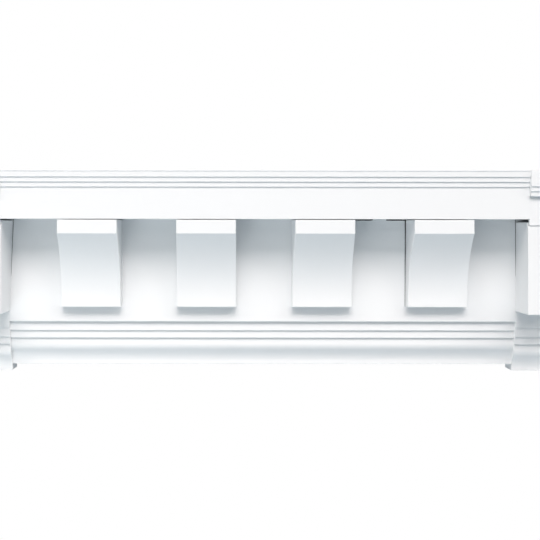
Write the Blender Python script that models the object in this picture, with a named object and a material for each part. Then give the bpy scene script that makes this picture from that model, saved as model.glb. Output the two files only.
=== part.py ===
"""A length of painted timber entablature with a dentil course.

Four concave dentil blocks stand on a plain frieze, under a cornice and over a bed moulding,
between two short end heads that are cut square where the building goes on.
Metres, +Z up. The wall is the plane y = 0, the front looks towards -Y, x = 0 is the middle
of the span and z = 0 is half way up the frieze.
"""

import math

import bmesh
import bpy

# Clearance that neighbouring pieces keep from each other
GAP = 0.0003

# Lengths along the wall
SPAN = 1.0124
END_WIDTH = 0.064
END_CORNICE_BACK_OFF = {"left": 0.0016, "right": 0.0020}
DENTIL_COUNT = 4
END_BAY = {"left": 0.1061, "right": 0.1013}
DENTIL_BASE_WIDTH = 0.1184
DENTIL_DRAFT = 0.0019

# Heights of the middle, from the top down
BEAD_HEIGHT = 0.0030
CAP_HEIGHT = 0.0108
FILLET_HEIGHT = 0.0095
FASCIA_HEIGHT = 0.0616
FRIEZE_HEIGHT = 0.2035
BAND_HEIGHT = 0.0280
CURVE_HEIGHT = 0.1336
FOOT_HEIGHT = 0.0124

# Heights of the end heads
END_CAP_HEIGHT = 0.0320
END_FILLET_HEIGHT = 0.0092
END_FASCIA_DROP = 0.0122
END_FRIEZE_SHOWN = 0.0323
END_BED_DROP = 0.0124

# Depths: every front is measured from the frieze plane
FRIEZE_DEPTH = 0.0600
FASCIA_AHEAD = 0.0670
FILLET_STEP = 0.0019
BEAD_STEP = 0.0008
DENTIL_AHEAD = 0.0660
DENTIL_FOOT_AHEAD = 0.0160
END_FASCIA_AHEAD = 0.0660
END_FASCIA_STEP = 0.0060
END_FILLET_STEP = 0.0019
END_BLOCK_AHEAD = 0.0645
END_LIP = 0.0050

# Bed moulding: two fillets and an ogee that fall back towards the wall
BED_BEHIND = 0.0055
END_BED_BEHIND = 0.0025
BED_FILLET_HEIGHTS = (0.0196, 0.0152)
BED_FILLET_STEPS = (0.0032, 0.0036)
OGEE_NECK = 0.0120
OGEE_ROUND = 0.0138
OGEE_HOLLOW = 0.0255
OGEE_DEPTH = 0.0150
OGEE_FOOT = 0.0042

# Open joints that the work shows. They narrow on their way down and are closed at the foot
BOARD_JOINT_TOP = 0.0022
BOARD_JOINT_LOW = 0.0010
BOARD_JOINT_FOOT = 0.0290
CORNER_JOINT_TOP = 0.0012
CORNER_JOINT_FOOT = 0.0900
CORNER_LEAN = {"left": 0.0069, "right": 0.0}
BLOCK_TOP_GAP = {"left": 0.0030, "right": 0.0060}
DENTIL_TOP_GAP = 0.0014
SLIT_HEIGHT = 0.0024
SLIT_DEPTH = 0.0200
SLIT_BESIDE_DENTIL = 0.0437
SLIT_BESIDE_JOINT = 0.0373

# How far a cutter stands clear of what it cuts
CUT_PAST = 0.0100

ARC_STEPS = 16
SHARP_ANGLE = math.radians(20)

# Places worked out from the sizes above
HALF_SPAN = SPAN / 2
SOFFIT = FRIEZE_HEIGHT / 2
FRIEZE_BOTTOM = -FRIEZE_HEIGHT / 2
TOP = SOFFIT + FASCIA_HEIGHT + 2 * FILLET_HEIGHT + CAP_HEIGHT + BEAD_HEIGHT
END_SOFFIT = SOFFIT - END_FASCIA_DROP
END_FRIEZE_BOTTOM = FRIEZE_BOTTOM - END_BED_DROP
FIRST_DENTIL = -HALF_SPAN + END_BAY["left"] + DENTIL_BASE_WIDTH / 2
LAST_DENTIL = HALF_SPAN - END_BAY["right"] - DENTIL_BASE_WIDTH / 2
DENTIL_PITCH = (LAST_DENTIL - FIRST_DENTIL) / (DENTIL_COUNT - 1)
DENTIL_PLACES = [FIRST_DENTIL + DENTIL_PITCH * number for number in range(DENTIL_COUNT)]
BOARD_JOINT = DENTIL_PLACES[-1] - DENTIL_BASE_WIDTH / 2


def front(ahead):
    """The y of a face that stands this far ahead of the frieze plane."""
    return -(FRIEZE_DEPTH + ahead)


def painted_wood(name):
    material = bpy.data.materials.new(name + " white satin paint")
    material.use_nodes = True
    shader = material.node_tree.nodes["Principled BSDF"]
    shader.inputs["Base Color"].default_value = (0.86, 0.87, 0.88, 1.0)
    shader.inputs["Roughness"].default_value = 0.38
    shader.inputs["Metallic"].default_value = 0.0
    return material


def closed_mesh(name, low_outline, high_outline):
    """The solid between two outlines with the same number of corners, its round faces shaded smooth."""
    work = bmesh.new()
    low = [work.verts.new(corner) for corner in low_outline]
    high = [work.verts.new(corner) for corner in high_outline]
    work.faces.new(low)
    work.faces.new(high)
    for number, corner in enumerate(low):
        after = (number + 1) % len(low)
        work.faces.new((corner, low[after], high[after], high[number]))
    bmesh.ops.recalc_face_normals(work, faces=work.faces)
    mesh = bpy.data.meshes.new(name)
    work.to_mesh(mesh)
    work.free()
    mesh.shade_smooth()
    mesh.set_sharp_from_angle(angle=SHARP_ANGLE)
    return mesh


def add_piece(name, mesh, x=0.0):
    """Puts a mesh in the scene as a named piece with its own paint."""
    piece = bpy.data.objects.new(name, mesh)
    bpy.context.scene.collection.objects.link(piece)
    piece.location = (x, 0.0, 0.0)
    mesh.materials.append(painted_wood(name))
    return piece


def run_along_wall(name, profile, start, end):
    """A moulding with this profile of (y, z) points, cut square at both ends."""
    low = [(start, y, z) for y, z in profile]
    high = [(end, y, z) for y, z in profile]
    return add_piece(name, closed_mesh(name, low, high))


def stepped_profile(levels, top):
    """(y, z) points from the wall at the bottom, up the stepped front, and back along the top.

    Each level is (y of its face, z of its lower edge), from the lowest face to the highest.
    """
    points = [(0.0, levels[0][1])]
    for number, (face, lower_edge) in enumerate(levels):
        upper_edge = levels[number + 1][1] if number + 1 < len(levels) else top
        points += [(face, lower_edge), (face, upper_edge)]
    return points + [(0.0, top)]


def cornice_profile():
    edge = SOFFIT + GAP
    levels = [(front(FASCIA_AHEAD), edge)]
    edge = SOFFIT + FASCIA_HEIGHT
    for step in (1, 2, 3):
        levels.append((front(FASCIA_AHEAD + step * FILLET_STEP), edge))
        edge += FILLET_HEIGHT
    levels.append((front(FASCIA_AHEAD + 3 * FILLET_STEP + BEAD_STEP), TOP - BEAD_HEIGHT))
    return stepped_profile(levels, TOP)


def end_cornice_profile():
    """As the middle's, but its fascia hangs lower as a thin lip in front of the end block."""
    face = front(END_FASCIA_AHEAD)
    fillet_face = front(END_FASCIA_AHEAD + END_FASCIA_STEP)
    cap_bottom = TOP - END_CAP_HEIGHT
    levels = [
        (face, END_SOFFIT),
        (fillet_face, cap_bottom - 2 * END_FILLET_HEIGHT),
        (fillet_face - END_FILLET_STEP, cap_bottom - END_FILLET_HEIGHT),
        (fillet_face - 2 * END_FILLET_STEP, cap_bottom),
    ]
    points = stepped_profile(levels, TOP)
    lip_back = face + END_LIP
    return [(0.0, SOFFIT), (lip_back, SOFFIT), (lip_back, END_SOFFIT)] + points[1:]


def ogee_points(neck_behind, neck_bottom):
    """Round over and hollow under, both upright at their outer ends and meeting on one slope.

    Two arcs that start upright and meet at an angle a fall back by their height times tan(a / 2).
    """
    height = OGEE_ROUND + OGEE_HOLLOW
    angle = 2 * math.atan(OGEE_DEPTH / height)
    round_radius = OGEE_ROUND / math.sin(angle)
    hollow_radius = OGEE_HOLLOW / math.sin(angle)
    turns = [angle * step / ARC_STEPS for step in range(ARC_STEPS + 1)]
    points = []
    for turn in turns:
        behind = neck_behind + round_radius * (1 - math.cos(turn))
        points.append((-FRIEZE_DEPTH + behind, neck_bottom - round_radius * math.sin(turn)))
    for turn in reversed(turns[:-1]):
        behind = neck_behind + OGEE_DEPTH - hollow_radius * (1 - math.cos(turn))
        lowest = neck_bottom - height
        points.append((-FRIEZE_DEPTH + behind, lowest + hollow_radius * math.sin(turn)))
    return points


def bed_profile(behind, top):
    """(y, z) points down the front of the bed moulding, then back up the wall."""
    points = [(0.0, top - GAP)]
    upper_edge = top - GAP
    lower_edge = top
    for height, step in zip(BED_FILLET_HEIGHTS, BED_FILLET_STEPS):
        lower_edge -= height
        points += [(-FRIEZE_DEPTH + behind, upper_edge), (-FRIEZE_DEPTH + behind, lower_edge)]
        upper_edge = lower_edge
        behind += step
    points.append((-FRIEZE_DEPTH + behind, upper_edge))
    points += ogee_points(behind, upper_edge - OGEE_NECK)
    bottom = upper_edge - OGEE_NECK - OGEE_ROUND - OGEE_HOLLOW - OGEE_FOOT
    points.append((points[-1][0], bottom))
    return points + [(0.0, bottom)]


def dentil_profile():
    """(ahead, z) points: an upright band, a hollow that ends upright, and a short foot."""
    top = SOFFIT - DENTIL_TOP_GAP
    band_bottom = SOFFIT - BAND_HEIGHT
    curve_bottom = band_bottom - CURVE_HEIGHT
    fall = DENTIL_AHEAD - DENTIL_FOOT_AHEAD
    radius = (CURVE_HEIGHT**2 + fall**2) / (2 * fall)
    whole_turn = math.asin(CURVE_HEIGHT / radius)
    points = [(GAP, top), (DENTIL_AHEAD, top)]
    for step in range(ARC_STEPS + 1):
        turn = whole_turn * (1 - step / ARC_STEPS)
        ahead = DENTIL_FOOT_AHEAD + radius * (1 - math.cos(turn))
        points.append((ahead, curve_bottom + radius * math.sin(turn)))
    bottom = curve_bottom - FOOT_HEIGHT
    return points + [(DENTIL_FOOT_AHEAD, bottom), (GAP, bottom)]


def dentils():
    """Equal blocks whose sides draw in a little from the frieze to the front."""
    profile = dentil_profile()
    outlines = []
    for side in (-1, 1):
        outline = []
        for ahead, z in profile:
            half_width = DENTIL_BASE_WIDTH / 2 - DENTIL_DRAFT * ahead / DENTIL_AHEAD
            outline.append((side * half_width, front(ahead), z))
        outlines.append(outline)
    for number, place in enumerate(DENTIL_PLACES):
        name = f"dentil_{number + 1}"
        add_piece(name, closed_mesh(name, *outlines), place)


def board(name, outline):
    """A frieze board with this outline of (x, z) points, from the wall to the frieze plane."""
    back = [(x, 0.0, z) for x, z in outline]
    face = [(x, front(0.0), z) for x, z in outline]
    return add_piece(name, closed_mesh(name, back, face))


def cut_slit(piece, start, end):
    """Lowers the board's top edge from one x to another, in from its face as far as SLIT_DEPTH."""
    bottom = SOFFIT - SLIT_HEIGHT
    outlines = []
    for x in (start, end):
        corners = [(-CUT_PAST, bottom), (SLIT_DEPTH, bottom), (SLIT_DEPTH, SOFFIT), (-CUT_PAST, SOFFIT)]
        outlines.append([(x, -FRIEZE_DEPTH + behind, z) for behind, z in corners])
    cutter = bpy.data.objects.new("slit_cutter", closed_mesh("slit_cutter", *outlines))
    bpy.context.scene.collection.objects.link(cutter)
    cutter.hide_render = True
    cutter.display_type = "WIRE"
    slit = piece.modifiers.new("slit", "BOOLEAN")
    slit.operation = "DIFFERENCE"
    slit.solver = "EXACT"
    slit.object = cutter


def corner_edge(side, sign):
    """(x, z) points up a board's edge at an end head: close along its foot, then an open wedge."""
    foot_lean = CORNER_LEAN[side] * CORNER_JOINT_FOOT / FRIEZE_HEIGHT
    points = [
        (GAP, FRIEZE_BOTTOM),
        (foot_lean + GAP, FRIEZE_BOTTOM + CORNER_JOINT_FOOT),
        (CORNER_LEAN[side] + CORNER_JOINT_TOP, SOFFIT - GAP),
    ]
    return [(sign * (HALF_SPAN - inset), z) for inset, z in points]


def frieze_boards():
    """Two boards that butt beside the last dentil, the long one with an upright edge."""
    top = SOFFIT - GAP
    edge = BOARD_JOINT - BOARD_JOINT_TOP
    outline = corner_edge("left", -1) + [(edge, top), (edge, FRIEZE_BOTTOM)]
    left_board = board("frieze_board_left", outline)
    slit_start = DENTIL_PLACES[-2] + DENTIL_BASE_WIDTH / 2
    cut_slit(left_board, slit_start, slit_start + SLIT_BESIDE_DENTIL)
    cut_slit(left_board, edge - SLIT_BESIDE_JOINT, edge + CUT_PAST)
    foot_top = FRIEZE_BOTTOM + BOARD_JOINT_FOOT
    outline = corner_edge("right", 1) + [
        (BOARD_JOINT, top),
        (edge + BOARD_JOINT_LOW, foot_top),
        (edge + GAP, foot_top),
        (edge + GAP, FRIEZE_BOTTOM),
    ]
    board("frieze_board_right", outline)


def end_frieze(side, sign):
    """The board behind the end block, with its inner edge leaning as the block's does."""
    top = SOFFIT - GAP
    outline = [
        (sign * (HALF_SPAN - CORNER_LEAN[side]), top),
        (sign * HALF_SPAN, FRIEZE_BOTTOM),
        (sign * HALF_SPAN, END_FRIEZE_BOTTOM),
        (sign * (HALF_SPAN + END_WIDTH), END_FRIEZE_BOTTOM),
        (sign * (HALF_SPAN + END_WIDTH), top),
    ]
    board(f"{side}_end_frieze", outline)


def end_block(side, sign):
    """A flat block with a rebate behind the lip. Its inner side leans at the frieze."""
    name = f"{side}_end_block"
    top = SOFFIT - BLOCK_TOP_GAP[side]
    bottom = END_FRIEZE_BOTTOM + END_FRIEZE_SHOWN
    rebate = END_FASCIA_AHEAD - END_LIP - GAP
    profile = [
        (GAP, bottom),
        (END_BLOCK_AHEAD, bottom),
        (END_BLOCK_AHEAD, END_SOFFIT - GAP),
        (rebate, END_SOFFIT - GAP),
        (rebate, top),
        (GAP, top),
    ]
    inner = []
    outer = []
    for ahead, z in profile:
        share_up = (z - FRIEZE_BOTTOM) / FRIEZE_HEIGHT
        lean = CORNER_LEAN[side] * share_up * (1 - ahead / END_BLOCK_AHEAD)
        inner.append((sign * (HALF_SPAN - lean), front(ahead), z))
        outer.append((sign * (HALF_SPAN + END_WIDTH), front(ahead), z))
    add_piece(name, closed_mesh(name, inner, outer))


def end_head(side, sign):
    """The pieces at one end of the span, out to the square cut."""
    reach = (sign * HALF_SPAN, sign * (HALF_SPAN + END_WIDTH))
    cornice_start = sign * (HALF_SPAN + END_CORNICE_BACK_OFF[side])
    run_along_wall(f"{side}_end_cornice", end_cornice_profile(), cornice_start, reach[1])
    end_frieze(side, sign)
    end_block(side, sign)
    bed = bed_profile(END_BED_BEHIND, END_FRIEZE_BOTTOM)
    run_along_wall(f"{side}_end_bed_moulding", bed, *reach)


def main():
    for old in list(bpy.data.objects):
        bpy.data.objects.remove(old)
    inside = (-HALF_SPAN + GAP, HALF_SPAN - GAP)
    cornice_ends = (inside[0] - END_CORNICE_BACK_OFF["left"], inside[1] + END_CORNICE_BACK_OFF["right"])
    run_along_wall("cornice_main", cornice_profile(), *cornice_ends)
    frieze_boards()
    dentils()
    run_along_wall("bed_moulding_main", bed_profile(BED_BEHIND, FRIEZE_BOTTOM), *inside)
    end_head("left", -1)
    end_head("right", 1)


main()
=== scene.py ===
"""Dentil moulding: the painted pieces, the light and the camera round the packed frame.

Metres, +Z up. The wall is the plane y = 0, the front looks towards -Y, x = 0 is the middle of
the span and z = 0 is half way up the frieze. "Ahead" is measured from the frieze plane.
"""

import functools
import math

import bmesh
import bpy
import numpy as np
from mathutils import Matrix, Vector


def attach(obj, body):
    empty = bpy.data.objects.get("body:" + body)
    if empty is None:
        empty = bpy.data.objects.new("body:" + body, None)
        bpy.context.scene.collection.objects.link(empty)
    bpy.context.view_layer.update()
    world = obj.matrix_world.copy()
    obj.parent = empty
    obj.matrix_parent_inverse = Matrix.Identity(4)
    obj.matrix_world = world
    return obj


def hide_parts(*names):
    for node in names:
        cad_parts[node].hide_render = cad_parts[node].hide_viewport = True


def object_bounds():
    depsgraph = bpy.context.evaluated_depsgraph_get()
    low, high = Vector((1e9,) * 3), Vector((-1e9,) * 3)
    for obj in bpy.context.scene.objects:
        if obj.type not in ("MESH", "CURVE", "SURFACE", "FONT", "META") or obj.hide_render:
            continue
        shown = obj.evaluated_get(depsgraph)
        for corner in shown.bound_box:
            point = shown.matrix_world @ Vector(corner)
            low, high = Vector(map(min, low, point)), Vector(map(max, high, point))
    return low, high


bl_info = {
    "name": "Dentil moulding",
    "version": (1, 0, 0),
    "blender": (4, 5, 0),
    "location": "3D View > Sidebar > Moulding",
    "description": "Builds a length of painted timber entablature with a dentil course",
    "category": "Object",
}

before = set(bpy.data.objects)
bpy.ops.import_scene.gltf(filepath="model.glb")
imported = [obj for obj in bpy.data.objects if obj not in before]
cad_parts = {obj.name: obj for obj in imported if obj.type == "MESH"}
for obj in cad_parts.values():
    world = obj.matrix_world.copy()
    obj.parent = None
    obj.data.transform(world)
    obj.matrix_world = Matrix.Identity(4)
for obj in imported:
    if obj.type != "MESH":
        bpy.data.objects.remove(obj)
CAD_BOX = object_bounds()

BODY = "root"

# Axis that a piece's brush marks follow
ALONG_THE_RUN = 0
UP_AND_DOWN = 2

# Where each finish stands in a piece's list of materials
PAINT = 0
PRIMER = 1
# The third finish is unpainted timber coloured dark grey as painted shade inside the open joints
BARE_WITH_PAINTED_SHADE = 2

# The end heads, and the direction of each along x
SIDES = {"left": -1, "right": 1}

# A face this near to a plane, in metres, lies on it
CLOSE = 0.0001

# Straight steps in each curve of the ogee and in a dentil's hollow
OGEE_STEPS = 24
HOLLOW_STEPS = 40

# Edges that turn by more than this angle are eased, in this many steps
ARRIS_ANGLE = math.radians(25)
ARRIS_STEPS = 3

# The picture: its side and the camera's vanishing point in pixels, and the sensor in mm
FRAME_SIDE = 540
VANISHING_POINT = (222.0, 225.0)
SENSOR = 36.0


def linear(colour):
    """The linear red, green and blue of an sRGB hex colour."""
    values = np.array([int(colour[place : place + 2], 16) for place in (0, 2, 4)]) / 255.0
    curve = np.where(values <= 0.04045, values / 12.92, ((values + 0.055) / 1.055) ** 2.4)
    return tuple(float(value) for value in curve)


# Short forms of the properties that hold the sizes and the looks


def length(name, description, default):
    return bpy.props.FloatProperty(
        name=name, description=description, default=default, unit="LENGTH", precision=4
    )


def tint(name, description, colour):
    return bpy.props.FloatVectorProperty(
        name=name,
        description=description,
        default=linear(colour),
        subtype="COLOR",
        min=0.0,
        max=1.0,
    )


def number(name, description, default):
    return bpy.props.FloatProperty(name=name, description=description, default=default)


def turn(name, description, degrees):
    return bpy.props.FloatProperty(
        name=name, description=description, default=math.radians(degrees), subtype="ANGLE"
    )


class RunSizes(bpy.types.PropertyGroup):
    """Sizes that all the pieces share."""

    span: length("Clear span", "Length between the two end heads", 1.0124)
    end_width: length("End head width", "Length of each end head out to its square cut", 0.064)
    frieze_height: length("Frieze height", "From the bed moulding up to the soffit", 0.2035)
    frieze_depth: length("Frieze depth", "From the wall to the frieze plane", 0.0600)
    end_drop: length("End drop", "How much lower the bed mouldings of the ends start", 0.0124)
    tuck: length("Tuck", "How far a piece runs on into its neighbour at a tight joint", 0.0008)
    hairline: length("Hairline", "Gap that shows between two butted pieces", 0.0003)


class CorniceSizes(bpy.types.PropertyGroup):
    """Heights and projections of the cornice and of its returns on the end heads."""

    fascia_height: length("Fascia height", "Flat face over the dentils", 0.0616)
    fillet_height: length("Fillet height", "Each of the two fillets over the fascia", 0.0095)
    cap_height: length("Cap height", "The cap over the fillets", 0.0108)
    bead_height: length("Bead height", "The thin bead along the top", 0.0030)
    fascia_ahead: length("Fascia ahead", "Fascia in front of the frieze", 0.0670)
    fillet_step: length("Fillet step", "Each step forward over the fascia", 0.0019)
    bead_step: length("Bead step", "Bead in front of the cap", 0.0008)
    end_cap_height: length("End cap height", "Cap of an end head", 0.0320)
    end_fillet_height: length("End fillet height", "Each fillet of an end head", 0.0092)
    end_fascia_drop: length("End fascia drop", "How far an end fascia hangs lower", 0.0122)
    end_fascia_ahead: length("End fascia ahead", "End fascia in front of the frieze", 0.0660)
    end_fascia_step: length("End fascia step", "Step from an end fascia to its fillet", 0.0060)
    end_fillet_step: length("End fillet step", "Each further step of an end head", 0.0019)
    left_back_off: length("Left back-off", "Left end cornice past its block's side", 0.0016)
    right_back_off: length("Right back-off", "Right end cornice past its block's side", 0.0020)
    end_lip: length("End lip", "Thickness of an end fascia in front of the block", 0.0050)


class FriezeSizes(bpy.types.PropertyGroup):
    """The open joints of the frieze boards."""

    board_joint_top: length("Board joint", "Width at the top of the joint by dentil 4", 0.0022)
    board_joint_low: length("Board joint low", "Width where that joint ends", 0.0010)
    board_joint_foot: length("Board joint foot", "Height of the closed foot under it", 0.0290)
    corner_joint_top: length("Corner joint", "Width at the top of the joint at an end head", 0.0012)
    corner_joint_foot: length("Corner joint foot", "Height of the closed foot under it", 0.0900)
    left_lean: length("Left lean", "How far the left end head leans in at its top", 0.0069)
    right_lean: length("Right lean", "How far the right end head leans in at its top", 0.0)
    slit_height: length("Slit height", "Open slit between board and soffit", 0.0024)
    slit_depth: length("Slit depth", "How far a slit goes in", 0.0200)
    slit_by_dentil: length("Slit by dentil 3", "Length of the slit beside dentil 3", 0.0437)
    slit_by_joint: length("Slit by joint", "Length of the slit beside the board joint", 0.0373)


class DentilSizes(bpy.types.PropertyGroup):
    """One dentil, and where the row starts."""

    count: bpy.props.IntProperty(name="Dentils", description="Dentils in the row", default=4, min=2)
    base_width: length("Base width", "Width at the frieze", 0.1184)
    draft: length("Draft", "How much each side draws in towards the front", 0.0019)
    left_bay: length("Left bay", "From the left end head to the first dentil", 0.1061)
    right_bay: length("Right bay", "From the last dentil to the right end head", 0.1013)
    ahead: length("Band ahead", "Upright band in front of the frieze", 0.0660)
    foot_ahead: length("Foot ahead", "Foot in front of the frieze", 0.0160)
    band_height: length("Band height", "Upright band under the soffit", 0.0280)
    curve_height: length("Curve height", "The hollow face", 0.1336)
    foot_height: length("Foot height", "Short upright foot", 0.0124)
    top_gap: length("Top gap", "Dark line between dentil and soffit", 0.0014)


class EndBlockSizes(bpy.types.PropertyGroup):
    """The flat blocks of the end heads."""

    ahead: length("Block ahead", "Block in front of the frieze", 0.0645)
    frieze_shown: length("Frieze shown", "Frieze that shows under a block", 0.0323)
    left_top_gap: length("Left gap", "Slit over the left block", 0.0030)
    right_top_gap: length("Right gap", "Slit over the right block", 0.0060)


class BedSizes(bpy.types.PropertyGroup):
    """The bed moulding: two fillets and an ogee that fall back to the wall."""

    behind: length("Behind", "Upper fillet behind the frieze plane", 0.0055)
    end_behind: length("End behind", "The same on an end head", 0.0025)
    upper_height: length("Upper fillet", "Height of the upper fillet", 0.0196)
    lower_height: length("Lower fillet", "Height of the lower fillet", 0.0152)
    upper_step: length("Upper step", "Step back under the upper fillet", 0.0032)
    lower_step: length("Lower step", "Step back under the lower fillet", 0.0036)
    neck: length("Neck", "Upright start of the ogee", 0.0120)
    round_height: length("Round height", "Rounded upper part of the ogee", 0.0138)
    hollow_height: length("Hollow height", "Hollow lower part of the ogee", 0.0255)
    ogee_depth: length("Ogee depth", "How far the ogee falls back", 0.0150)
    foot: length("Foot", "Upright end of the ogee", 0.0042)


class PaintLook(bpy.types.PropertyGroup):
    """The paint, the primer, the unpainted joint faces coloured dark as painted shade, and the
    eased arrises.
    """

    white: tint("White", "Satin paint on the fronts", "E7E8E9")
    thin_white: tint("Thin white", "Satin paint where the coat is thinner", "E5E7E8")
    primer: tint("Primer", "Undercoat on the back, the top and the cut ends", "D5D8DA")
    # Painted shade: the unpainted timber of the open joints and slits, and the darker grey streaked
    # over it, are both far darker than real softwood to stand for the shade inside them
    bare: tint("Bare timber", "Unpainted edges inside the open joints and slits", "6A635C")
    dust: tint("Dust", "Dust and soot that settle there", "3E3C3A")
    satin_roughness: number("Satin roughness", "Roughness of the satin paint", 0.40)
    satin_range: number("Satin range", "How far that roughness goes up and down", 0.06)
    patch: length("Patch", "Size of the thicker and thinner patches of the coat", 0.0909)
    primer_roughness: number("Primer roughness", "Roughness of the undercoat", 0.75)
    bare_roughness: number("Bare roughness", "Roughness of the unpainted timber", 0.9)
    arris: length("Arris", "Width of an eased edge or of the paint in a corner", 0.0008)
    board_arris: length("Board arris", "The same on the frieze boards", 0.0003)
    bristle: length("Bristle spacing", "Distance between brush marks", 0.0014)
    stroke: length("Stroke length", "Length of a brush mark", 0.090)
    ridge: length("Ridge", "Height of a brush mark", 0.00006)
    grain: length("Grain", "Distance between growth rings of the bare timber", 0.0025)
    grain_run: length("Grain run", "How far one streak of the grain runs", 0.060)
    saw_mark: length("Saw mark", "Distance between saw marks under the primer", 0.0030)
    saw_run: length("Saw run", "Length of a saw mark", 0.125)
    saw_depth: length("Saw depth", "Depth of a saw mark", 0.0005)
    saw_turn: turn("Saw turn", "Slant of the saw marks", 6.88)


class StageLook(bpy.types.PropertyGroup):
    """Floor, light and camera."""

    floor: tint("Floor", "Pale studio floor", "CDD6DC")
    floor_roughness: number("Floor roughness", "Roughness of the floor's paper", 0.9)
    floor_drop: length("Floor drop", "Floor below the middle of the part", 1.6)
    floor_half: length("Floor half size", "Half of the floor's side", 2.0)
    spread: turn("Spread", "Apparent size of each lamp, for soft shadows", 26.0)
    main_tint: tint("Main tint", "Colour of the two main lights", "FFF8F5")
    main_strength: number("Main strength", "Power of each main light", 1.6)
    main_height: turn("Main height", "Main lights above the horizon", 52.0)
    main_turn: turn("Main turn", "Main lights to the left and right of the front", 18.0)
    side_tint: tint("Side tint", "Colour of the two side lights", "FDF8F4")
    left_strength: number("Left strength", "Power of the left side light", 0.80)
    right_strength: number("Right strength", "Power of the right side light", 1.15)
    side_height: turn("Side height", "Side lights above the horizon", 38.0)
    side_turn: turn("Side turn", "Side lights to the left and right of the front", 60.0)
    low_tint: tint("Low tint", "Colour of the low front light and the back light", "FFFFFF")
    low_strength: number("Low strength", "Power of the low front light", 0.42)
    back_strength: number("Back strength", "Power of the light from behind", 1.5)
    low_height: turn("Low height", "Low front light and back light above the horizon", 26.0)
    card_tint: tint("Card tint", "Colour of the reflector card", "FAFFFF")
    card_power: number("Card power", "Power of the reflector card in watts", 6.6)
    card_place: bpy.props.FloatVectorProperty(
        name="Card place",
        description="Reflector card, in front of the left end and below it",
        default=(-1.0, -1.0, -1.0),
        subtype="TRANSLATION",
    )
    card_width: length("Card width", "Long side of the reflector card", 1.2)
    card_depth: length("Card depth", "Short side of the reflector card", 0.9)
    bounce_tint: tint("Bounce tint", "Colour of the light from low in front", "D0EDFF")
    bounce_strength: number("Bounce strength", "Power of the light from low in front", 0.82)
    bounce_top: number("Bounce top", "Height of a direction where that light has faded out", -0.30)
    bounce_fade: number("Bounce fade", "Range of height over which it fades out", 0.1)
    paper: tint("Paper", "Background that the camera sees", "FFFFFF")
    lens: bpy.props.FloatProperty(
        name="Lens", description="Focal length in mm on a 36 mm sensor", default=53.33
    )
    eye_x: length("Eye x", "Camera along the wall", -0.0814)
    eye_distance: length("Eye distance", "Camera from the frieze plane", 1.600)
    eye_z: length("Eye z", "Camera height over the middle of the frieze", 0.09015)
    roll: turn("Roll", "Tilt of the camera about its line of sight", -0.07)


GROUPS = {
    "run": RunSizes,
    "cornice": CorniceSizes,
    "frieze": FriezeSizes,
    "dentil": DentilSizes,
    "block": EndBlockSizes,
    "bed": BedSizes,
    "paint": PaintLook,
    "stage": StageLook,
}


def sizes_of(group):
    """The values in use in this group."""
    return getattr(bpy.context.scene, "moulding_" + group)


# Places that several pieces share


def half_span():
    return sizes_of("run").span / 2


def soffit():
    return sizes_of("run").frieze_height / 2


def top_of_cornice():
    cornice = sizes_of("cornice")
    steps = 2 * cornice.fillet_height + cornice.cap_height + cornice.bead_height
    return soffit() + cornice.fascia_height + steps


def end_soffit():
    return soffit() - sizes_of("cornice").end_fascia_drop


def end_frieze_bottom():
    return -soffit() - sizes_of("run").end_drop


def front(ahead):
    """The y of a face that stands this far ahead of the frieze plane."""
    return -(sizes_of("run").frieze_depth + ahead)


def back_off(side):
    return getattr(sizes_of("cornice"), side + "_back_off")


def lean(side):
    return getattr(sizes_of("frieze"), side + "_lean")


def dentil_places():
    """Middles of the dentils: equal steps from the first to the last."""
    dentil = sizes_of("dentil")
    first = -half_span() + dentil.left_bay + dentil.base_width / 2
    last = half_span() - dentil.right_bay - dentil.base_width / 2
    return np.linspace(first, last, dentil.count)


# Surfaces


def loft(low, high):
    """Points and faces between two outlines of n corners.

    The surface is P(u, v) = (1 - v) low(u) + v high(u), u round the outline and v from 0 to 1.
    The two outlines themselves close its ends.
    """
    here = np.arange(len(low))
    after = np.roll(here, -1)
    around = np.stack([here, after, after + len(low), here + len(low)], axis=1)
    faces = around.tolist() + [here[::-1].tolist(), (here + len(low)).tolist()]
    return np.concatenate([low, high]), faces


def on_plane(outline, axis, place):
    """Three-dimensional corners of a flat outline: place is put in as the coordinate axis."""
    return np.insert(np.asarray(outline, float), axis, place, axis=1)


def along_wall(profile, start, end):
    """A profile of (y, z) points carried straight along x from start to end."""
    return loft(on_plane(profile, 0, start), on_plane(profile, 0, end))


def through_wall(outline, back, face):
    """An outline of (x, z) points carried straight along y from back to face."""
    return loft(on_plane(outline, 1, back), on_plane(outline, 1, face))


def arc(radius, start, end, steps):
    """Points (radius (1 - cos t), radius sin t) for t from start to end, as two columns."""
    angle = np.linspace(start, end, steps + 1)
    return np.stack([radius * (1 - np.cos(angle)), radius * np.sin(angle)], axis=1)


def stepped(faces, lower_edges, top):
    """(y, z) corners from the wall up a stepped front and back along the top.

    Face k stands at y = faces[k] from z = lower_edges[k] to the next lower edge.
    """
    upper_edges = np.append(lower_edges[1:], top)
    edges = np.stack([lower_edges, upper_edges], axis=1)
    steps = np.stack([np.repeat(faces, 2), edges.ravel()], axis=1)
    return np.concatenate([[(0.0, lower_edges[0])], steps, [(0.0, top)]])


def cornice_profile():
    cornice = sizes_of("cornice")
    edge = soffit() + cornice.fascia_height
    edges = edge + cornice.fillet_height * np.array([0.0, 1.0, 2.0])
    edges = np.concatenate([[soffit()], edges, [top_of_cornice() - cornice.bead_height]])
    ahead = cornice.fascia_ahead + cornice.fillet_step * np.arange(4.0)
    faces = front(np.append(ahead, ahead[-1] + cornice.bead_step))
    return stepped(faces, edges, top_of_cornice())


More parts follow.
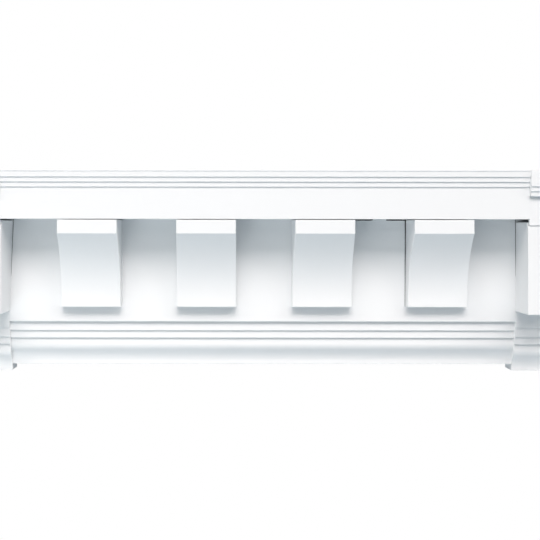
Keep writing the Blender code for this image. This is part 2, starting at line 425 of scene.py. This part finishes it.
def end_cornice_profile():
    """As the middle's, with the fascia hanging as a thin lip in front of the end block."""
    cornice = sizes_of("cornice")
    face = front(cornice.end_fascia_ahead)
    steps = cornice.end_fascia_step + cornice.end_fillet_step * np.arange(3.0)
    cap_bottom = top_of_cornice() - cornice.end_cap_height
    edges = cap_bottom - cornice.end_fillet_height * np.array([2.0, 1.0, 0.0])
    faces = np.append(face, face - steps)
    profile = stepped(faces, np.append(end_soffit(), edges), top_of_cornice())
    lip_back = face + cornice.end_lip
    rebate = [(0.0, soffit()), (lip_back, soffit()), (lip_back, end_soffit())]
    return np.concatenate([rebate, profile[1:]])


def ogee(behind, top):
    """(behind, z) points of a round over a hollow, both upright where the ogee starts and ends.

    Two arcs that start upright and meet at the angle a fall back by their height times
    tan(a / 2), so a = 2 atan(depth / height) and each radius is its arc's height / sin a.
    """
    bed = sizes_of("bed")
    height = bed.round_height + bed.hollow_height
    angle = 2 * math.atan(bed.ogee_depth / height)
    over = arc(bed.round_height / math.sin(angle), 0.0, angle, OGEE_STEPS)
    under = arc(bed.hollow_height / math.sin(angle), angle, 0.0, OGEE_STEPS)[1:]
    over = np.stack([behind + over[:, 0], top - over[:, 1]], axis=1)
    under = np.stack([behind + bed.ogee_depth - under[:, 0], top - height + under[:, 1]], axis=1)
    return np.concatenate([over, under])


def bed_profile(behind, top):
    """(y, z) corners down the two fillets and the ogee, then back to the wall."""
    bed = sizes_of("bed")
    first_edge = top - bed.upper_height
    second_edge = first_edge - bed.lower_height
    second = behind + bed.upper_step
    third = second + bed.lower_step
    fillets = [
        (behind, top),
        (behind, first_edge),
        (second, first_edge),
        (second, second_edge),
        (third, second_edge),
    ]
    curve = ogee(third, second_edge - bed.neck)
    bottom = curve[-1, 1] - bed.foot
    face = np.concatenate([fillets, curve, [(curve[-1, 0], bottom)]])
    face[:, 0] -= sizes_of("run").frieze_depth
    return np.concatenate([[(0.0, top)], face, [(0.0, bottom)]])


def dentil_profile():
    """(ahead, z) points: an upright band, a hollow that ends upright, and a short foot.

    The hollow is an arc that falls back by its height times tan(a / 2): its radius is
    (height squared + fall squared) / (2 fall).
    """
    dentil = sizes_of("dentil")
    band_bottom = soffit() - dentil.band_height
    curve_bottom = band_bottom - dentil.curve_height
    bottom = curve_bottom - dentil.foot_height
    fall = dentil.ahead - dentil.foot_ahead
    radius = (dentil.curve_height**2 + fall**2) / (2 * fall)
    hollow = arc(radius, math.asin(dentil.curve_height / radius), 0.0, HOLLOW_STEPS)
    hollow += (dentil.foot_ahead, curve_bottom)
    top = soffit() - dentil.top_gap
    rooted = -sizes_of("run").tuck
    upper = [(rooted, top), (dentil.ahead, top)]
    lower = [(dentil.foot_ahead, bottom), (rooted, bottom)]
    return np.concatenate([upper, hollow, lower])


# Finishing a piece


def add_node(tree, kind, sockets, **settings):
    """Adds a node. A socket takes a value, or the output of another node as its link."""
    node = tree.nodes.new(kind)
    for name, value in settings.items():
        setattr(node, name, value)
    for name, value in sockets.items():
        if isinstance(value, bpy.types.NodeSocket):
            tree.links.new(value, node.inputs[name])
        else:
            node.inputs[name].default_value = value
    return node


def new_material(name):
    """An empty material with its tree, its Object coordinates and its Principled shader."""
    material = bpy.data.materials.new(name)
    material.use_nodes = True
    tree = material.node_tree
    tree.nodes.clear()
    place = add_node(tree, "ShaderNodeTexCoord", {}).outputs["Object"]
    shader = add_node(tree, "ShaderNodeBsdfPrincipled", {})
    add_node(tree, "ShaderNodeOutputMaterial", {"Surface": shader.outputs["BSDF"]})
    return material, tree, place, shader


def add_noise(tree, vector, detail, roughness):
    """The value of a noise with one cell for each unit of the vector."""
    sockets = {"Vector": vector, "Scale": 1.0, "Detail": detail, "Roughness": roughness}
    return add_node(tree, "ShaderNodeTexNoise", sockets).outputs["Fac"]


def add_mapping(tree, vector, scale, slant=0.0):
    """The vector scaled along each axis, and turned about z."""
    sockets = {"Vector": vector, "Scale": scale, "Rotation": (0.0, 0.0, slant)}
    return add_node(tree, "ShaderNodeMapping", sockets).outputs["Vector"]


def add_bump(tree, height, depth):
    """The normal of a surface with marks of this depth in metres."""
    sockets = {"Height": height, "Strength": 1.0, "Distance": depth}
    return add_node(tree, "ShaderNodeBump", sockets).outputs["Normal"]


def add_colour_mix(tree, share, first, second):
    """From the first colour where the share is 0 to the second where it is 1.

    The node's sockets are reached by number, because several of them share a name.
    """
    sockets = {0: share, 6: (*first, 1.0), 7: (*second, 1.0)}
    return add_node(tree, "ShaderNodeMix", sockets, data_type="RGBA").outputs[2]


def brushed_satin_paint(direction):
    """White satin alkyd paint on planed softwood, laid off with a brush along one axis.

    The eye gets a clean white with a soft sheen, and low ridges in long strokes that break the
    sheen at a slant. Bristle marks are really about 0.7 mm apart and are drawn twice as wide.
    """
    paint = sizes_of("paint")
    name = "white_satin_paint_brushed_along_" + "xyz"[direction]
    material, tree, place, shader = new_material(name)
    scale = [1 / paint.bristle] * 3
    scale[direction] = 1 / paint.stroke
    marks = add_noise(tree, add_mapping(tree, place, scale), detail=2.0, roughness=0.5)
    wide = add_mapping(tree, place, [1 / paint.patch] * 3)
    patches = add_noise(tree, wide, detail=2.0, roughness=0.4)
    coat = add_colour_mix(tree, patches, paint.white, paint.thin_white)
    sheen = add_node(
        tree,
        "ShaderNodeMapRange",
        {
            "Value": patches,
            "To Min": paint.satin_roughness - paint.satin_range,
            "To Max": paint.satin_roughness + paint.satin_range,
        },
    )
    tree.links.new(coat, shader.inputs["Base Color"])
    tree.links.new(sheen.outputs["Result"], shader.inputs["Roughness"])
    tree.links.new(add_bump(tree, marks, paint.ridge), shader.inputs["Normal"])
    return material


def matt_primer():
    """White acrylic primer on sawn softwood, for the faces that the finished work hides.

    The eye gets a flat chalky white with the faint ripple of saw marks about 3 mm apart.
    """
    paint = sizes_of("paint")
    material, tree, place, shader = new_material("white_primer_on_sawn_softwood")
    scale = (1 / paint.saw_mark, 1 / paint.saw_run, 1 / paint.saw_run)
    across = add_mapping(tree, place, scale, paint.saw_turn)
    marks = add_noise(tree, across, detail=3.0, roughness=0.55)
    tree.links.new(add_bump(tree, marks, paint.saw_depth), shader.inputs["Normal"])
    shader.inputs["Base Color"].default_value = (*paint.primer, 1.0)
    shader.inputs["Roughness"].default_value = paint.primer_roughness
    return material


def bare_softwood_painted_dark_as_shade():
    """Unpainted softwood inside the open joints and slits, coloured dark grey as painted shade.

    The eye gets dark lines between white boards, with no grain to see at that width.
    """
    paint = sizes_of("paint")
    material, tree, place, shader = new_material("bare_softwood_grey_with_dust")
    scale = (1 / paint.grain_run, 1 / paint.grain, 1 / paint.grain)
    streaks = add_noise(tree, add_mapping(tree, place, scale), detail=2.0, roughness=0.5)
    # Painted shade: grain streaks between two dark greys that stand for the shade in the joints
    timber = add_colour_mix(tree, streaks, paint.bare, paint.dust)
    tree.links.new(timber, shader.inputs["Base Color"])
    shader.inputs["Roughness"].default_value = paint.bare_roughness
    return material


@functools.cache
def finish_of(maker, *settings):
    """The material that a maker function gives, made once."""
    return maker(*settings)


def face_finishes(mesh, board):
    """The finish of each face.

    Primer is on what finished work hides: the back, the level top and the two cut ends. A
    board is unpainted behind its face, on the edges and slits above the bed moulding, in a
    dark grey that is painted shade. The rest is painted.
    """
    low, high = CAD_BOX
    centres = np.empty(len(mesh.polygons) * 3)
    mesh.polygons.foreach_get("center", centres)
    centres = centres.reshape(-1, 3)
    cut = np.minimum(np.abs(centres[:, 0] - low.x), np.abs(centres[:, 0] - high.x)) < CLOSE
    back = np.abs(centres[:, 1] - high.y) < CLOSE
    top = np.abs(centres[:, 2] - high.z) < CLOSE
    # Painted shade: the faces behind a board's front, above the bed moulding, take the dark joint
    # finish
    bare = board & (centres[:, 1] > front(0.0) + CLOSE) & (centres[:, 2] > -soffit())
    return np.select([cut | back | top, bare], [PRIMER, BARE_WITH_PAINTED_SHADE], PAINT).astype(np.int32)


def add_piece(name, shells, direction, node, board=False):
    """Makes a painted piece of closed shells, which stands for the CAD node of this name.

    A board has sharper arrises, and no paint on its edges, which are dark grey as painted shade.
    """
    paint = sizes_of("paint")
    points = []
    faces = []
    for corners, sides in shells:
        start = sum(len(part) for part in points)
        points.append(corners)
        faces += [[corner + start for corner in side] for side in sides]
    mesh = bpy.data.meshes.new(name)
    mesh.from_pydata(np.concatenate(points).tolist(), [], faces)
    work = bmesh.new()
    work.from_mesh(mesh)
    bmesh.ops.recalc_face_normals(work, faces=work.faces)
    work.to_mesh(mesh)
    work.free()
    mesh.materials.append(finish_of(brushed_satin_paint, direction))
    mesh.materials.append(finish_of(matt_primer))
    # A board's third material is the dark grey that paints the shade in its joints and slits
    if board:
        mesh.materials.append(finish_of(bare_softwood_painted_dark_as_shade))
    mesh.polygons.foreach_set("material_index", face_finishes(mesh, board))
    mesh.shade_smooth()
    piece = bpy.data.objects.new(name, mesh)
    bpy.context.scene.collection.objects.link(piece)
    eased = piece.modifiers.new("eased arrises", "BEVEL")
    eased.width = paint.board_arris if board else paint.arris
    eased.segments = ARRIS_STEPS
    eased.limit_method = "ANGLE"
    eased.angle_limit = ARRIS_ANGLE
    eased.material = PAINT
    piece.modifiers.new("flat faces stay flat", "WEIGHTED_NORMAL")
    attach(piece, BODY)
    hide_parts(node)


# One operator for each group of like pieces


class MOULDING_OT_cornice(bpy.types.Operator):
    """Add the cornice over the span and its returns on the two end heads"""

    bl_idname = "moulding.cornice"
    bl_label = "Cornice"

    def execute(self, context):
        run = sizes_of("run")
        starts = {side: half_span() + back_off(side) for side in SIDES}
        ends = (-starts["left"] - run.tuck, starts["right"] + run.tuck)
        shell = along_wall(cornice_profile(), *ends)
        add_piece("cornice", [shell], ALONG_THE_RUN, "cornice_main")
        profile = end_cornice_profile()
        for side, sign in SIDES.items():
            outer = half_span() + run.end_width
            shell = along_wall(profile, sign * starts[side], sign * outer)
            add_piece(f"cornice_{side}_end", [shell], ALONG_THE_RUN, f"{side}_end_cornice")
        return {"FINISHED"}


class MOULDING_OT_frieze(bpy.types.Operator):
    """Add the two frieze boards, with their open joints, and the boards of the end heads"""

    bl_idname = "moulding.frieze"
    bl_label = "Frieze boards"

    def execute(self, context):
        tuck = sizes_of("run").tuck
        top = soffit() + tuck
        bottom = -soffit() - tuck
        joint = dentil_places()[-1] - sizes_of("dentil").base_width / 2
        edge = joint - sizes_of("frieze").board_joint_top
        self.long_board(edge, top, bottom)
        self.short_board(edge, joint, top, bottom)
        for side, sign in SIDES.items():
            self.end_board(side, sign, top)
        return {"FINISHED"}

    def long_board(self, edge, top, bottom):
        """The board up to the joint by dentil 4, with its two slits under the soffit."""
        frieze = sizes_of("frieze")
        slit_bottom = soffit() - frieze.slit_height
        joint_slit = edge - frieze.slit_by_joint
        dentil_slit = dentil_places()[-2] + sizes_of("dentil").base_width / 2
        corner = self.corner_edge("left", top, bottom)
        whole = [*corner, (edge, top), (edge, bottom)]
        slitted = [
            *corner,
            (dentil_slit, top),
            (dentil_slit, slit_bottom),
            (dentil_slit + frieze.slit_by_dentil, slit_bottom),
            (dentil_slit + frieze.slit_by_dentil, top),
            (joint_slit, top),
            (joint_slit, slit_bottom),
            (edge, slit_bottom),
            (edge, bottom),
        ]
        slit_back = front(-frieze.slit_depth)
        shells = [
            through_wall(whole, 0.0, slit_back),
            through_wall(slitted, slit_back + sizes_of("run").tuck, front(0.0)),
        ]
        self.add_board("frieze_long_board", shells, "frieze_board_left")

    def short_board(self, edge, joint, top, bottom):
        """The board past that joint: closed along its foot, and drawn back from there upwards."""
        tuck = sizes_of("run").tuck
        frieze = sizes_of("frieze")
        foot_top = -soffit() + frieze.board_joint_foot
        outline = [
            *self.corner_edge("right", top, bottom),
            (joint, top),
            (edge + frieze.board_joint_low, foot_top),
            (edge - tuck, foot_top),
            (edge - tuck, bottom),
        ]
        shell = through_wall(outline, 0.0, front(0.0))
        self.add_board("frieze_short_board", [shell], "frieze_board_right")

    def corner_edge(self, side, top, bottom):
        """(x, z) points up a board's edge at an end head: closed at its foot, then a wedge."""
        run = sizes_of("run")
        frieze = sizes_of("frieze")
        foot_lean = lean(side) * frieze.corner_joint_foot / run.frieze_height
        foot_top = -soffit() + frieze.corner_joint_foot
        points = [
            (-run.tuck, bottom),
            (foot_lean - run.tuck, foot_top),
            (foot_lean + run.hairline, foot_top),
            (lean(side) + frieze.corner_joint_top, top),
        ]
        return [(SIDES[side] * (half_span() - inset), z) for inset, z in points]

    def end_board(self, side, sign, top):
        """The board of an end head, whose inner edge leans in above the bed moulding."""
        outer = half_span() + sizes_of("run").end_width
        bottom = end_frieze_bottom() - sizes_of("run").tuck
        outline = np.array(
            [
                (half_span() - lean(side), top),
                (half_span(), -soffit()),
                (half_span(), bottom),
                (outer, bottom),
                (outer, top),
            ]
        )
        shell = through_wall(outline * (sign, 1), 0.0, front(0.0))
        self.add_board(f"frieze_{side}_end", [shell], f"{side}_end_frieze")

    def add_board(self, name, shells, node):
        add_piece(name, shells, ALONG_THE_RUN, node, board=True)


class MOULDING_OT_dentils(bpy.types.Operator):
    """Add the row of dentils, whose sides draw in a little from the frieze to the front"""

    bl_idname = "moulding.dentils"
    bl_label = "Dentils"

    def execute(self, context):
        dentil = sizes_of("dentil")
        ahead, z = dentil_profile().T
        half_width = dentil.base_width / 2 - dentil.draft * ahead / dentil.ahead
        for number_in_row, middle in enumerate(dentil_places(), 1):
            sides = [
                np.stack([middle + sign * half_width, front(ahead), z], axis=1) for sign in (-1, 1)
            ]
            name = f"dentil_block_{number_in_row}"
            add_piece(name, [loft(*sides)], UP_AND_DOWN, f"dentil_{number_in_row}")
        return {"FINISHED"}


class MOULDING_OT_end_blocks(bpy.types.Operator):
    """Add the flat blocks of the end heads, rebated behind the lip of the fascia"""

    bl_idname = "moulding.end_blocks"
    bl_label = "End blocks"

    def execute(self, context):
        run = sizes_of("run")
        block = sizes_of("block")
        cornice = sizes_of("cornice")
        bottom = end_frieze_bottom() + block.frieze_shown
        rebate = cornice.end_fascia_ahead - cornice.end_lip - run.hairline
        shoulder = end_soffit() - run.hairline
        for side, sign in SIDES.items():
            top = soffit() - getattr(block, side + "_top_gap")
            profile = [
                (-run.tuck, bottom),
                (block.ahead, bottom),
                (block.ahead, shoulder),
                (rebate, shoulder),
                (rebate, top),
                (-run.tuck, top),
            ]
            ahead, z = np.array(profile).T
            share_up = (z + soffit()) / run.frieze_height
            inner = half_span() - lean(side) * share_up * (1 - ahead / block.ahead)
            outer = np.full_like(inner, half_span() + run.end_width)
            outlines = [np.stack([sign * x, front(ahead), z], axis=1) for x in (inner, outer)]
            shell = loft(*outlines)
            add_piece(f"block_{side}_end", [shell], UP_AND_DOWN, f"{side}_end_block")
        return {"FINISHED"}


class MOULDING_OT_bed(bpy.types.Operator):
    """Add the bed moulding under the frieze and the lower ones of the end heads"""

    bl_idname = "moulding.bed"
    bl_label = "Bed mouldings"

    def execute(self, context):
        run = sizes_of("run")
        bed = sizes_of("bed")
        reach = half_span() + run.tuck
        shell = along_wall(bed_profile(bed.behind, -soffit()), -reach, reach)
        add_piece("bed_moulding", [shell], ALONG_THE_RUN, "bed_moulding_main")
        profile = bed_profile(bed.end_behind, end_frieze_bottom())
        for side, sign in SIDES.items():
            shell = along_wall(profile, sign * half_span(), sign * (half_span() + run.end_width))
            name = f"bed_moulding_{side}_end"
            add_piece(name, [shell], ALONG_THE_RUN, f"{side}_end_bed_moulding")
        return {"FINISHED"}


class MOULDING_OT_stage(bpy.types.Operator):
    """Add the pale floor, the soft light and the camera at the photograph's viewing angle"""

    bl_idname = "moulding.stage"
    bl_label = "Stage"

    def execute(self, context):
        stage = sizes_of("stage")
        context.scene.view_settings.view_transform = "Standard"
        self.add_floor(context, stage)
        self.add_lamps(context, stage)
        self.add_card(context, stage)
        self.add_world(context, stage)
        self.add_camera(context, stage)
        return {"FINISHED"}

    def add_floor(self, context, stage):
        """A square: the points (h u, h v, -drop) for u and v of -1 and 1."""
        u, v = np.meshgrid([-1.0, 1.0], [-1.0, 1.0])
        points = np.stack([u, v, np.full_like(u, -stage.floor_drop)], axis=-1).reshape(-1, 3)
        points[:, :2] *= stage.floor_half
        mesh = bpy.data.meshes.new("floor")
        mesh.from_pydata(points.tolist(), [], [(0, 1, 3, 2)])
        material, _, _, shader = new_material("pale_studio_paper")
        shader.inputs["Base Color"].default_value = (*stage.floor, 1.0)
        shader.inputs["Roughness"].default_value = stage.floor_roughness
        mesh.materials.append(material)
        floor = bpy.data.objects.new("floor", mesh)
        context.scene.collection.objects.link(floor)

    def add_lamps(self, context, stage):
        """Soft light from the upper front, both sides, low in front and behind."""
        main = (stage.main_strength, stage.main_tint, stage.main_height)
        side = (stage.side_tint, stage.side_height)
        low = (stage.low_tint, stage.low_height)
        lamps = {
            "left main light": (*main, stage.main_turn),
            "right main light": (*main, -stage.main_turn),
            "left side light": (stage.left_strength, *side, stage.side_turn),
            "right side light": (stage.right_strength, *side, -stage.side_turn),
            "low front light": (stage.low_strength, *low, 0.0),
            "back light": (stage.back_strength, *low, math.pi),
        }
        for name, (strength, colour, height, to_the_left) in lamps.items():
            light = bpy.data.lights.new(name, "SUN")
            light.color = colour
            light.energy = strength
            light.angle = stage.spread
            lamp = bpy.data.objects.new(name, light)
            lamp.rotation_euler = (math.pi / 2 - height, 0.0, -to_the_left)
            context.scene.collection.objects.link(lamp)

    def add_card(self, context, stage):
        """A reflector card that faces the middle of the frieze."""
        card = bpy.data.lights.new("reflector card", "AREA")
        card.shape = "RECTANGLE"
        card.size = stage.card_width
        card.size_y = stage.card_depth
        card.color = stage.card_tint
        card.energy = stage.card_power
        lamp = bpy.data.objects.new("reflector card", card)
        lamp.location = stage.card_place
        to_the_frieze = Vector((0.0, front(0.0), 0.0)) - lamp.location
        lamp.rotation_euler = to_the_frieze.to_track_quat("-Z", "Y").to_euler()
        context.scene.collection.objects.link(lamp)

    def add_world(self, context, stage):
        """A cool bounce from below, which fades out upwards, and white paper for the camera."""
        world = bpy.data.worlds.new("even light")
        world.use_nodes = True
        tree = world.node_tree
        tree.nodes.clear()
        towards = add_node(tree, "ShaderNodeTexCoord", {}).outputs["Generated"]
        height = add_node(tree, "ShaderNodeSeparateXYZ", {"Vector": towards}).outputs["Z"]
        strength = add_node(
            tree,
            "ShaderNodeMapRange",
            {
                "Value": height,
                "From Min": stage.bounce_top - stage.bounce_fade,
                "From Max": stage.bounce_top,
                "To Min": stage.bounce_strength,
                "To Max": 0.0,
            },
        )
        fill = add_node(
            tree,
            "ShaderNodeBackground",
            {"Color": (*stage.bounce_tint, 1.0), "Strength": strength.outputs["Result"]},
        )
        paper = add_node(tree, "ShaderNodeBackground", {"Color": (*stage.paper, 1.0)})
        seen = add_node(tree, "ShaderNodeLightPath", {}).outputs["Is Camera Ray"]
        mixed = add_node(
            tree, "ShaderNodeMixShader", {0: seen, 1: fill.outputs[0], 2: paper.outputs[0]}
        )
        add_node(tree, "ShaderNodeOutputWorld", {"Surface": mixed.outputs[0]})
        context.scene.world = world

    def add_camera(self, context, stage):
        """A level camera that looks straight at the frieze from the photograph's viewpoint.

        The frame is shifted so that the photograph's vanishing point is where it should be.
        """
        camera = bpy.data.cameras.new("camera")
        camera.sensor_width = SENSOR
        camera.lens = stage.lens
        across, down = VANISHING_POINT
        camera.shift_x = 0.5 - across / FRAME_SIDE
        camera.shift_y = down / FRAME_SIDE - 0.5
        eye = bpy.data.objects.new("camera", camera)
        eye.location = (stage.eye_x, front(stage.eye_distance), stage.eye_z)
        eye.rotation_euler = (math.pi / 2, stage.roll, 0.0)
        context.scene.collection.objects.link(eye)
        context.scene.camera = eye


OPERATORS = (
    MOULDING_OT_cornice,
    MOULDING_OT_frieze,
    MOULDING_OT_dentils,
    MOULDING_OT_end_blocks,
    MOULDING_OT_bed,
    MOULDING_OT_stage,
)


class MOULDING_PT_panel(bpy.types.Panel):
    """Lists the pieces of the moulding"""

    bl_idname = "MOULDING_PT_panel"
    bl_label = "Dentil moulding"
    bl_space_type = "VIEW_3D"
    bl_region_type = "UI"
    bl_category = "Moulding"

    def draw(self, context):
        for operator in OPERATORS:
            self.layout.operator(operator.bl_idname)
        for group, sizes in GROUPS.items():
            box = self.layout.box()
            box.label(text=sizes.__doc__)
            for name in sizes.__annotations__:
                box.prop(sizes_of(group), name)


def register():
    for group in (*GROUPS.values(), *OPERATORS, MOULDING_PT_panel):
        bpy.utils.register_class(group)
    for group, sizes in GROUPS.items():
        setattr(bpy.types.Scene, "moulding_" + group, bpy.props.PointerProperty(type=sizes))


def unregister():
    for group in GROUPS:
        delattr(bpy.types.Scene, "moulding_" + group)
    for group in (MOULDING_PT_panel, *reversed(OPERATORS), *reversed(GROUPS.values())):
        bpy.utils.unregister_class(group)


def main():
    register()
    bpy.ops.moulding.cornice()
    bpy.ops.moulding.frieze()
    bpy.ops.moulding.dentils()
    bpy.ops.moulding.end_blocks()
    bpy.ops.moulding.bed()
    bpy.ops.moulding.stage()
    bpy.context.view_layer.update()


if __name__ == "__main__":
    main()
